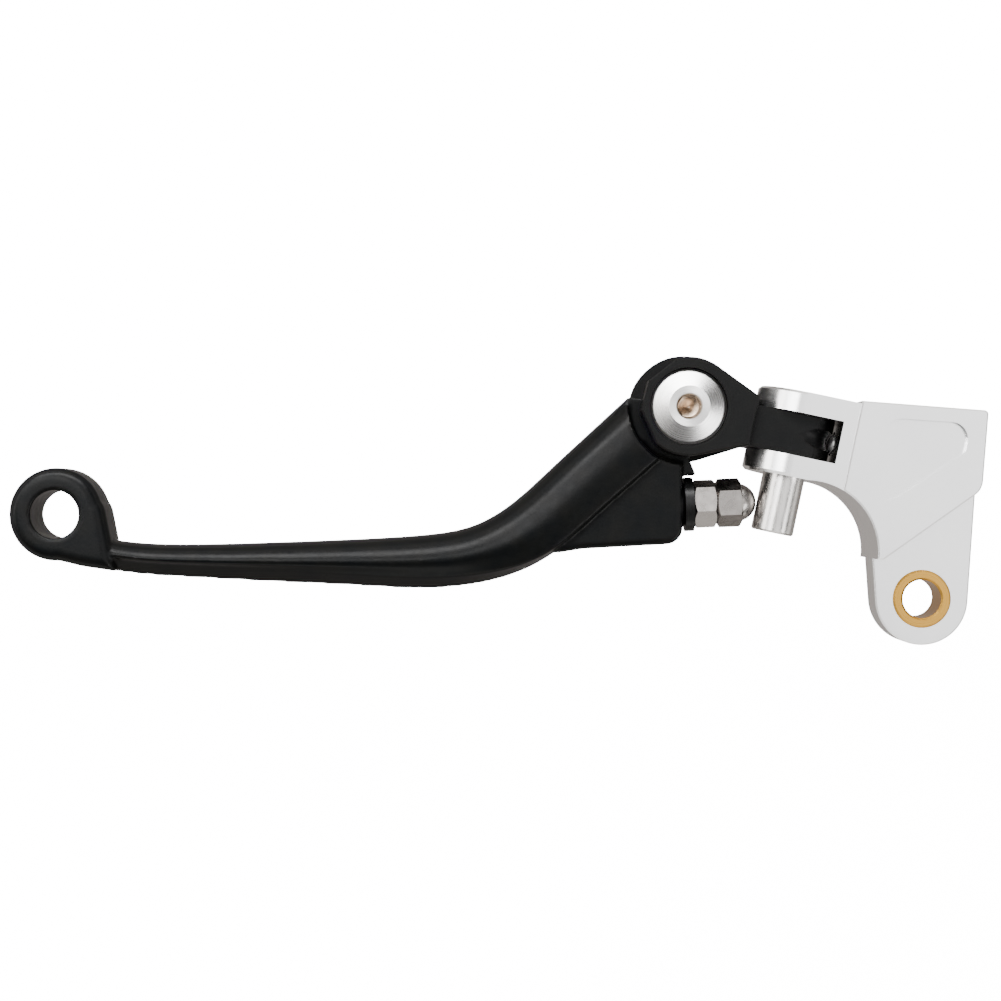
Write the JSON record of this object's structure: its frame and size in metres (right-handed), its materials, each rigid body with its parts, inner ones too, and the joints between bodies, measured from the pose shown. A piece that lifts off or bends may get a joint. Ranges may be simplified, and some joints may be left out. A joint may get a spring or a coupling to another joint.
{
  "type": "clutch lever",
  "caption": "Folding, reach-adjustable motorcycle clutch lever: forged blade on a sprung folding link, carried by a machined perch arm with a brass pivot bush.",
  "frame": {"origin": "centre of the perch bush's bore, halfway through its thickness", "axes": "+Z along the perch pivot's bore, upwards on the handlebar; +X along the lever, away from the blade; +Y away from the handlebar"},
  "size_m": [0.1828, 0.0549, 0.0216],
  "materials": {
    "polished_aluminium": "bright machined aluminium, fine milled faces",
    "bush_brass": "turned brass",
    "pin_steel": "ground steel",
    "ball_steel": "polished bearing ball",
    "spring_steel": "drawn spring wire",
    "link_black": "satin black anodised",
    "bronze_liner": "sintered bronze",
    "screw_steel": "turned stainless steel",
    "nut_steel": "stainless steel nut",
    "stud_steel": "threaded steel",
    "washer_black": "black oxide steel",
    "thrust_washer": "plain steel",
    "blade_black": "satin black powder coat with a fine grain"
  },
  "bodies": {
    "perch_arm": {"pivot_body": "polished_aluminium", "pivot_bush": "bush_brass", "fold_pin": "pin_steel", "detent_spring": "spring_steel"},
    "detent": {"detent_ball": "ball_steel"},
    "link": {"fold_link": "link_black", "link_bush": "bronze_liner", "return_spring": "spring_steel"},
    "screw_stack": {"pivot_screw": "screw_steel", "pivot_nut": "nut_steel", "thrust_washer_upper": "thrust_washer", "thrust_washer_lower": "thrust_washer"},
    "blade": {"lever_blade": "blade_black", "blade_bush": "bronze_liner", "adjuster_spacer": "washer_black", "jam_nut": "nut_steel"},
    "stud": {"adjuster_stud": "stud_steel"},
    "cap": {"cap_nut": "nut_steel"}
  },
  "joints": [
    {"name": "detent_press", "type": "slide", "parent": "perch_arm", "child": "detent", "axis": [0.9781, -0.2079, 0], "range_m": [0, 0.0005], "stiffness_N_per_m": 1500, "springref_m": -0.003, "deforming": ["detent_spring"]},
    {"name": "link_fold", "type": "hinge", "parent": "perch_arm", "child": "link", "pos_m": [-0.02378, 0.03083, 0], "axis": [0.2079, 0.9781, 0], "range_deg": [-90, 90]},
    {"name": "blade_fold", "type": "hinge", "parent": "link", "child": "screw_stack", "pos_m": [-0.0442, 0.036, 0], "axis": [0, 0, -1], "range_deg": [0, 75], "stiffness_Nm_per_rad": 0.15, "springref_deg": -68.75},
    {"name": "reach_trim", "type": "hinge", "parent": "screw_stack", "child": "blade", "pos_m": [-0.0442, 0.036, 0], "axis": [0, 0, -1], "range_deg": [0, 11]},
    {"name": "adjuster_travel", "type": "slide", "parent": "blade", "child": "stud", "axis": [0.9992, 0.0401, 0], "range_m": [0, 0.0031]},
    {"name": "cap_turn", "type": "hinge", "parent": "stud", "child": "cap", "pos_m": [-0.03435, 0.01815, 0], "axis": [0.9992, 0.0401, 0], "range_deg": [0, 1400]}
  ],
  "couplings": [
    {"joint": "adjuster_travel", "follows": "reach_trim", "m_per_rad": 0.015625},
    {"joint": "cap_turn", "follows": "reach_trim", "ratio": 122.72}
  ]
}
